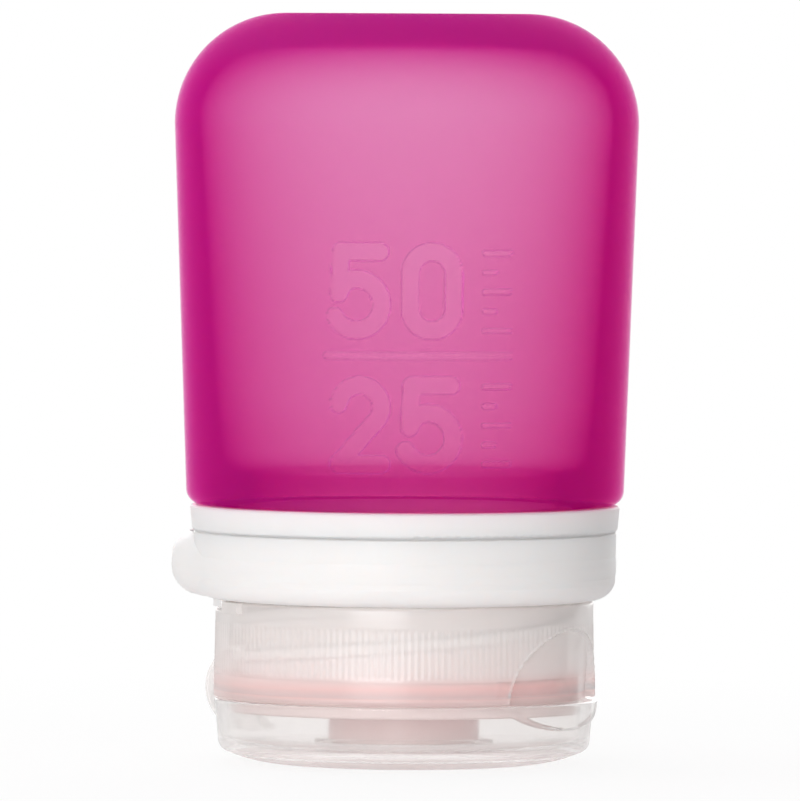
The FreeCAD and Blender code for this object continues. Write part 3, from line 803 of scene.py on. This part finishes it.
def screw_ridge(name, first, root_r, crest_r):
    """One thread: a trapezium section carried along a helix, its height faded out at both ends."""
    along = np.linspace(0.0, RIDGE_TURNS, 160)[:, None]
    fade = between(along, 0.0, RIDGE_TURNS, RIDGE_FADE, RIDGE_FADE)
    crest = root_r + (crest_r - root_r) * fade
    sunk = root_r - RIDGE_SUNK * np.sign(crest_r - root_r)
    radius = np.concatenate([sunk + 0 * along, crest, crest, sunk + 0 * along], axis=1)
    offset = np.array([[-RIDGE_HALF_FOOT, -RIDGE_HALF_CREST, RIDGE_HALF_CREST, RIDGE_HALF_FOOT]])
    turn = np.radians(first) + 2 * math.pi * along
    height = RIDGE_LOW + SCREW_LEAD * along + offset
    return put_mesh(name, round_axis(radius, height, turn), close_ends=True)


def screw_threads():
    """Threads of the neck, which go with the bottle, and of the cap, midway between them."""
    pieces = []
    for start in range(SCREW_STARTS):
        first = 360.0 * start / SCREW_STARTS
        neck = screw_ridge(f"neck_thread_{start}", first, NECK_R, NECK_RIDGE_R)
        pieces.append((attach(neck, "bottle"), "white_plastic"))
        cap = screw_ridge(f"cap_thread_{start}", first + 90.0, SKIRT_BORE_R, CAP_RIDGE_R)
        label_all(cap, "clear", 1.0 - THREAD_CLOUD)
        pieces.append((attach(cap, "cap"), "natural_plastic"))
    return pieces


def new_material(name):
    """A new node material, with its nodes, links, shader and output."""
    material = bpy.data.materials.new(name)
    material.use_nodes = True
    nodes = material.node_tree.nodes
    return material, nodes, material.node_tree.links, nodes["Principled BSDF"], nodes["Material Output"]


def fine_noise(nodes, links, scale):
    """Noise on Object coordinates, the same in every direction."""
    place = nodes.new("ShaderNodeTexCoord")
    noise = nodes.new("ShaderNodeTexNoise")
    noise.inputs["Scale"].default_value = scale
    noise.inputs["Detail"].default_value = 3.0
    links.new(place.outputs["Object"], noise.inputs["Vector"])
    return noise.outputs["Fac"]


def spread(nodes, links, value, low, high):
    """A 0 to 1 value turned into a range."""
    limits = nodes.new("ShaderNodeMapRange")
    limits.inputs["To Min"].default_value = low
    limits.inputs["To Max"].default_value = high
    links.new(value, limits.inputs["Value"])
    return limits.outputs["Result"]


def bump_from(nodes, links, shader, value, height):
    """A bump of that height in metres from a 0 to 1 value."""
    bump = nodes.new("ShaderNodeBump")
    bump.inputs["Distance"].default_value = height
    links.new(value, bump.inputs["Height"])
    links.new(bump.outputs["Normal"], shader.inputs["Normal"])


def mixed(nodes, links, share, first, second):
    """Two shaders in one: share is the part that the second one takes."""
    mix = nodes.new("ShaderNodeMixShader")
    links.new(share, mix.inputs["Fac"])
    links.new(first, mix.inputs[1])
    links.new(second, mix.inputs[2])
    return mix.outputs["Shader"]


def kept(nodes, name):
    """A number that label() keeps at each point of a mesh."""
    attribute = nodes.new("ShaderNodeAttribute")
    attribute.attribute_name = name
    return attribute.outputs["Fac"]


def bending(nodes, links):
    """How far a wall bends what is seen through it; the light of a lamp goes straight through."""
    path = nodes.new("ShaderNodeLightPath")
    share = nodes.new("ShaderNodeMath")
    share.operation = "MULTIPLY"
    links.new(kept(nodes, "bends"), share.inputs[0])
    links.new(spread(nodes, links, path.outputs["Is Shadow Ray"], 1.0, 0.0), share.inputs[1])
    return share.outputs["Value"]


def grazing(nodes, links, square_on, edge_on):
    """Share of light that a smooth surface mirrors, from square on to edge on."""
    facing = nodes.new("ShaderNodeLayerWeight")
    power = nodes.new("ShaderNodeMath")
    power.operation = "POWER"
    power.inputs[1].default_value = 5.0
    links.new(facing.outputs["Facing"], power.inputs[0])
    return spread(nodes, links, power.outputs["Value"], square_on, edge_on)


def body_silicone():
    """Translucent magenta silicone: tinted by its depth, hazy inside, and a little cloudy at its surface."""
    material, nodes, links, shader, output = new_material("body_silicone")
    grain = fine_noise(nodes, links, 900.0)
    shader.inputs["Base Color"].default_value = (0.78, 0.09, 0.53, 1.0)
    shader.inputs["Specular IOR Level"].default_value = 0.04
    links.new(spread(nodes, links, grain, 0.42, 0.55), shader.inputs["Roughness"])
    bump_from(nodes, links, shader, grain, 0.00002)
    clear = nodes.new("ShaderNodeBsdfTransparent")
    surface = mixed(nodes, links, kept(nodes, "cloud"), clear.outputs["BSDF"], shader.outputs["BSDF"])
    links.new(surface, output.inputs["Surface"])
    tint = nodes.new("ShaderNodeVolumeAbsorption")
    tint.inputs["Color"].default_value = (0.868, 0.0, 0.562, 1.0)
    tint.inputs["Density"].default_value = 283.0
    haze = nodes.new("ShaderNodeVolumeScatter")
    haze.inputs["Color"].default_value = (0.88, 0.0, 1.0, 1.0)
    haze.inputs["Density"].default_value = 80.0
    both = nodes.new("ShaderNodeAddShader")
    links.new(tint.outputs["Volume"], both.inputs[0])
    links.new(haze.outputs["Volume"], both.inputs[1])
    links.new(both.outputs["Shader"], output.inputs["Volume"])
    return material


def white_plastic():
    """Smooth white polypropylene with a trace of light under its surface."""
    material, nodes, links, shader, _ = new_material("white_plastic")
    grain = fine_noise(nodes, links, 350.0)
    shader.inputs["Base Color"].default_value = (0.925, 0.90, 0.888, 1.0)
    shader.inputs["Specular IOR Level"].default_value = 0.25
    shader.inputs["Subsurface Weight"].default_value = 0.8
    shader.inputs["Subsurface Radius"].default_value = (1.0, 0.9, 0.85)
    shader.inputs["Subsurface Scale"].default_value = 0.0015
    links.new(spread(nodes, links, grain, 0.38, 0.50), shader.inputs["Roughness"])
    bump_from(nodes, links, shader, grain, 0.00001)
    return material


def natural_plastic():
    """Milky translucent polypropylene with a clean gloss: part of it scatters light, the rest is clear.

    The lid is thick and clear enough to bend what is seen through it. Where the milk is dense, in the lid
    and the deck, more of the light comes back. A piece that has no label for its clearness is all milk.
    """
    material, nodes, links, shader, output = new_material("natural_plastic")
    grain = fine_noise(nodes, links, 500.0)
    milk_and_painted_glow = nodes.new("ShaderNodeValToRGB")
    # Milk colour with a painted glow of the coral parts behind: bright pink at 0.5, painted light for the
    # deck in the lid's shade, and a darker colour at 1, painted shade for the brightly lit seal band of the
    # skirt.
    milk_and_painted_glow.color_ramp.elements[0].color = (0.985, 0.972, 0.963, 1.0)
    milk_and_painted_glow.color_ramp.elements[1].color = (0.56, 0.68, 0.71, 1.0)
    milk_and_painted_glow.color_ramp.elements.new(0.5).color = (0.99, 0.845, 0.825, 1.0)
    links.new(kept(nodes, "painted_glow"), milk_and_painted_glow.inputs["Fac"])
    links.new(milk_and_painted_glow.outputs["Color"], shader.inputs["Base Color"])
    links.new(spread(nodes, links, grain, 0.16, 0.28), shader.inputs["Roughness"])
    bump_from(nodes, links, shader, grain, 0.00001)
    glow = nodes.new("ShaderNodeBsdfTranslucent")
    links.new(milk_and_painted_glow.outputs["Color"], glow.inputs["Color"])
    passed_on = spread(nodes, links, kept(nodes, "dense"), 0.5, 0.22)
    milk = mixed(nodes, links, passed_on, shader.outputs["BSDF"], glow.outputs["BSDF"])
    clear = nodes.new("ShaderNodeBsdfTransparent")
    clear.inputs["Color"].default_value = (1.0, 0.993, 0.99, 1.0)
    gloss = nodes.new("ShaderNodeBsdfGlossy")
    gloss.inputs["Roughness"].default_value = 0.2
    mirrored = grazing(nodes, links, 0.04, 0.85)
    thin = mixed(nodes, links, mirrored, clear.outputs["BSDF"], gloss.outputs["BSDF"])
    thick = nodes.new("ShaderNodeBsdfGlass")
    thick.inputs["Color"].default_value = (0.99, 0.982, 0.978, 1.0)
    thick.inputs["IOR"].default_value = 1.4
    thick.inputs["Roughness"].default_value = 0.1
    wall = mixed(nodes, links, bending(nodes, links), thin, thick.outputs["BSDF"])
    surface = mixed(nodes, links, kept(nodes, "clear"), milk, wall)
    links.new(surface, output.inputs["Surface"])
    haze = nodes.new("ShaderNodeVolumeScatter")
    haze.inputs["Color"].default_value = (1.0, 0.985, 0.98, 1.0)
    haze.inputs["Density"].default_value = 10.0
    links.new(haze.outputs["Volume"], output.inputs["Volume"])
    return material


def seal_silicone():
    """Soft coral silicone of the gasket and the valve."""
    material, nodes, links, shader, _ = new_material("seal_silicone")
    grain = fine_noise(nodes, links, 700.0)
    shader.inputs["Base Color"].default_value = (0.95, 0.53, 0.53, 1.0)
    shader.inputs["Subsurface Weight"].default_value = 0.3
    shader.inputs["Subsurface Radius"].default_value = (1.0, 0.5, 0.45)
    shader.inputs["Subsurface Scale"].default_value = 0.001
    links.new(spread(nodes, links, grain, 0.45, 0.6), shader.inputs["Roughness"])
    bump_from(nodes, links, shader, grain, 0.00002)
    return material


def floor_white():
    """Pale floor that the camera sees as white, apart from the bottle's soft shadow."""
    material, nodes, links, shader, output = new_material("floor_white")
    shader.inputs["Base Color"].default_value = (0.96, 0.96, 0.96, 1.0)
    shader.inputs["Roughness"].default_value = 0.9
    glow = nodes.new("ShaderNodeEmission")
    seen = seen_rays(nodes, links)
    place = nodes.new("ShaderNodeTexCoord")
    reach = nodes.new("ShaderNodeVectorMath")
    reach.operation = "LENGTH"
    links.new(place.outputs["Object"], reach.inputs[0])
    fade = nodes.new("ShaderNodeMapRange")
    fade.inputs["From Min"].default_value = 0.03
    fade.inputs["From Max"].default_value = 0.16
    fade.inputs["To Min"].default_value = 0.88
    fade.inputs["To Max"].default_value = 1.0
    links.new(reach.outputs["Value"], fade.inputs["Value"])
    part = nodes.new("ShaderNodeMath")
    part.operation = "MULTIPLY"
    links.new(seen, part.inputs[0])
    links.new(fade.outputs["Result"], part.inputs[1])
    surface = mixed(nodes, links, part.outputs["Value"], shader.outputs["BSDF"], glow.outputs["Emission"])
    links.new(surface, output.inputs["Surface"])
    return material


def seen_rays(nodes, links):
    """1 for a ray from the camera, or one that gloss or a clear wall sends on, and 0 for other light."""
    path = nodes.new("ShaderNodeLightPath")
    first = nodes.new("ShaderNodeMath")
    first.operation = "MAXIMUM"
    second = nodes.new("ShaderNodeMath")
    second.operation = "MAXIMUM"
    links.new(path.outputs["Is Camera Ray"], first.inputs[0])
    links.new(path.outputs["Is Glossy Ray"], first.inputs[1])
    links.new(first.outputs["Value"], second.inputs[0])
    links.new(path.outputs["Is Transmission Ray"], second.inputs[1])
    return second.outputs["Value"]


def soft_lamp(name, place, size, watts):
    """A square lamp aimed at the middle of the bottle, and not itself seen through the lid."""
    lamp = bpy.data.lights.new(name, "AREA")
    lamp.size = size
    lamp.energy = watts
    obj = bpy.data.objects.new(name, lamp)
    obj.location = place
    aim = Vector((0.0, 0.0, 0.03)) - obj.location
    obj.rotation_euler = aim.to_track_quat("-Z", "Y").to_euler()
    obj.visible_transmission = False
    bpy.context.scene.collection.objects.link(obj)


def studio():
    """White room with a pale floor, and soft lamps in front on the left, above and behind."""
    world = bpy.data.worlds.new("studio_white")
    bpy.context.scene.world = world
    world.use_nodes = True
    nodes, links = world.node_tree.nodes, world.node_tree.links
    room = nodes["Background"]
    room.inputs["Color"].default_value = (1.0, 1.0, 1.0, 1.0)
    links.new(spread(nodes, links, seen_rays(nodes, links), 0.29, 1.0), room.inputs["Strength"])

    soft_lamp("key_lamp", (-0.23, -0.82, 0.05), 0.5, 6.2)
    soft_lamp("back_lamp", (0.10, 0.84, 0.20), 0.8, 4.0)
    soft_lamp("top_lamp", (-0.2, 0.1, 0.85), 0.8, 3.4)

    half = 1.2
    low = -0.05 * MM
    mesh = bpy.data.meshes.new("floor")
    corners = [(-half, -half, low), (half, -half, low), (half, half, low), (-half, half, low)]
    mesh.from_pydata(corners, [], [(0, 1, 2, 3)])
    floor = bpy.data.objects.new("floor", mesh)
    floor.data.materials.append(floor_white())
    bpy.context.scene.collection.objects.link(floor)


def camera():
    """Long lens level with the bottle's top, aimed at the middle of the bottle."""
    distance = 1.16
    view_width = 0.07985
    height = 0.0755
    aim = Vector((-0.00055, 0.0, 0.0361))
    roll = 0.3
    lens = bpy.data.cameras.new("camera")
    lens.sensor_width = 36.0
    lens.lens = lens.sensor_width * distance / view_width
    lens.clip_end = 20.0
    obj = bpy.data.objects.new("camera", lens)
    obj.location = (aim.x, -distance, height)
    look = (aim - obj.location).to_track_quat("-Z", "Y").to_matrix().to_4x4()
    tilt = Matrix.Rotation(math.radians(roll), 4, "Z")
    obj.matrix_world = Matrix.Translation(obj.location) @ look @ tilt
    bpy.context.scene.collection.objects.link(obj)
    bpy.context.scene.camera = obj


MATERIALS = {
    "body_silicone": body_silicone(),
    "white_plastic": white_plastic(),
    "natural_plastic": natural_plastic(),
    "seal_silicone": seal_silicone(),
}

NODE_FINISH = {
    "neck_insert": "white_plastic",
    "collar_ring": "white_plastic",
    "loop_ring": "white_plastic",
    "hinge_film": "natural_plastic",
    "valve_retainer": "natural_plastic",
    "mouth_gasket": "seal_silicone",
    "drip_valve": "seal_silicone",
}


def finish(obj, name):
    """Gives a piece one material all over."""
    obj.data.materials.clear()
    obj.data.materials.append(MATERIALS[name])


for node, name in NODE_FINISH.items():
    finish(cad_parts[node], name)
finish(bottle_wall(), "body_silicone")
finish(cap_shell(), "natural_plastic")
finish(lid_shell(), "natural_plastic")
finish(hinge_ear("cap_hinge_ear", 1, -SKIRT_R + EAR_ROOT, "cap"), "natural_plastic")
finish(hinge_ear("lid_hinge_ear", -1, -LID_SIDE_R + EAR_ROOT, "lid"), "natural_plastic")
for number, start in enumerate(STOP_STARTS):
    finish(ring_stop(f"ring_stop_{number}", start), "natural_plastic")
finish(collar_seat(), "white_plastic")
straps = [hinge_strap(f"hinge_strap_{number}", side) for number, side in enumerate((-1, 1))]
for strap in straps:
    finish(strap, "natural_plastic")
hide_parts("hinge_straps")
for ridge, plastic in screw_threads():
    finish(ridge, plastic)

studio()
camera()
bpy.context.scene.view_settings.view_transform = "Standard"
bpy.context.scene.cycles.transparent_max_bounces = 64
bpy.context.scene.cycles.diffuse_bounces = 8
bpy.context.scene.cycles.volume_bounces = 4
